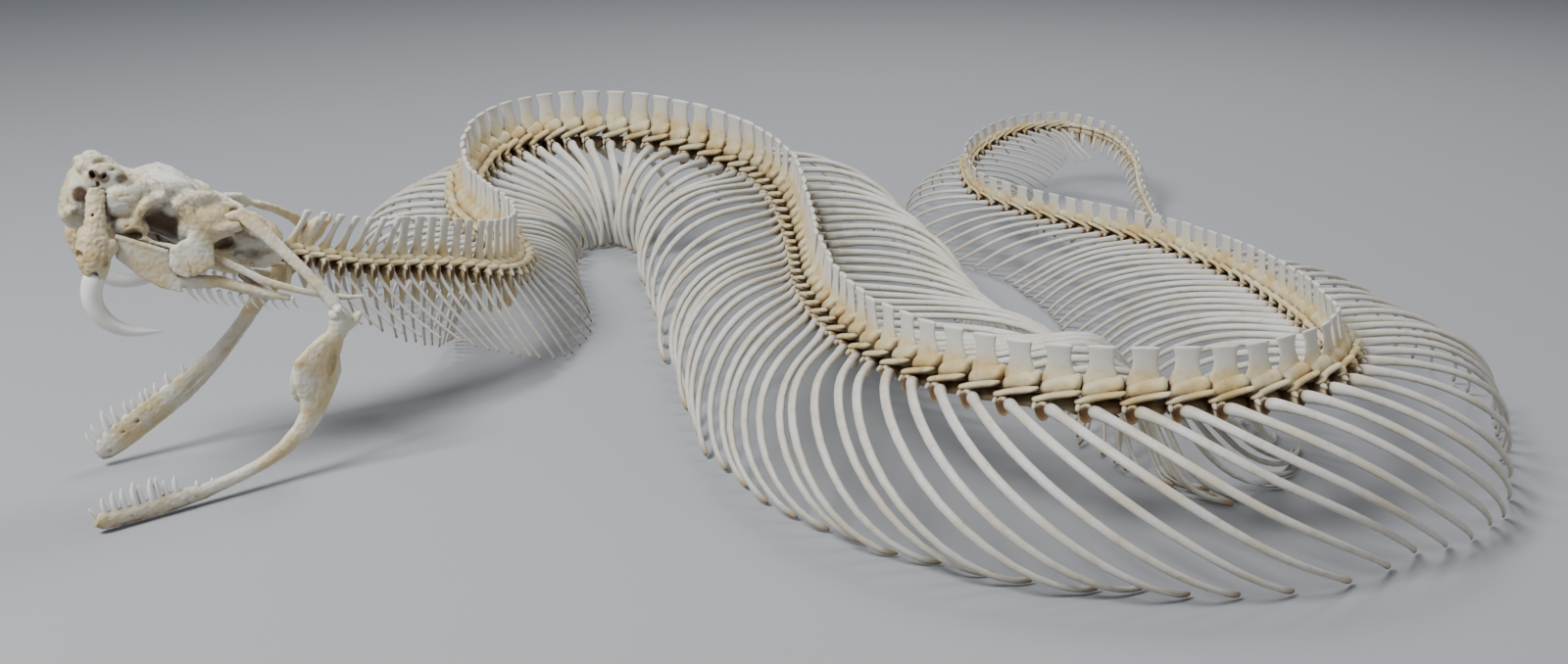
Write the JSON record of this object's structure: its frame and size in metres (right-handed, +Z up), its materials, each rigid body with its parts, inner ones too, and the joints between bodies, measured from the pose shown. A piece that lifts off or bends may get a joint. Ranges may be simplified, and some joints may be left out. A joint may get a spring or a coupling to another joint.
{
  "type": "snake skeleton",
  "caption": "Complete dry skeleton of a stout viper in a winding life pose, resting on its rib tips with the head raised, the jaws wide open and one long fang forward",
  "frame": {"origin": "centre of the whole skeleton seen from above, on the floor", "axes": "+Z up; +Y from the front bend of the body to the far one, along the longest side; +X to the right with the head on the left"},
  "size_m": [0.3842, 0.4272, 0.0831],
  "materials": {
    "bone": "dry bone, matt, ivory with brown stains",
    "rib_bone": "dry bone, matt, greyish white with brown tips",
    "skull_bone": "dry bone, slightly waxy, cream"
  },
  "bodies": {
    "root": {"cranium": "skull_bone", "fang_jaw_left": "skull_bone", "palate_left": "skull_bone", "jaw_hanger_left": "skull_bone", "lower_jaw_left": "skull_bone", "fang_jaw_right": "skull_bone", "palate_right": "skull_bone", "jaw_hanger_right": "skull_bone", "lower_jaw_right": "skull_bone", "neck_spine": "bone", "neck_ribs_left": "rib_bone", "neck_ribs_right": "rib_bone", "fore_bend_spine": "bone", "fore_bend_ribs_left": "rib_bone", "fore_bend_ribs_right": "rib_bone", "hump_spine": "bone", "hump_ribs_left": "rib_bone", "hump_ribs_right": "rib_bone", "fore_trunk_spine": "bone", "fore_trunk_ribs_left": "rib_bone", "fore_trunk_ribs_right": "rib_bone", "front_trunk_spine": "bone", "front_trunk_ribs_left": "rib_bone", "front_trunk_ribs_right": "rib_bone", "right_bend_spine": "bone", "right_bend_ribs_left": "rib_bone", "right_bend_ribs_right": "rib_bone", "rear_trunk_spine": "bone", "rear_trunk_ribs_left": "rib_bone", "rear_trunk_ribs_right": "rib_bone", "far_bend_spine": "bone", "far_bend_ribs_left": "rib_bone", "far_bend_ribs_right": "rib_bone", "tail": "bone"}
  },
  "joints": []
}
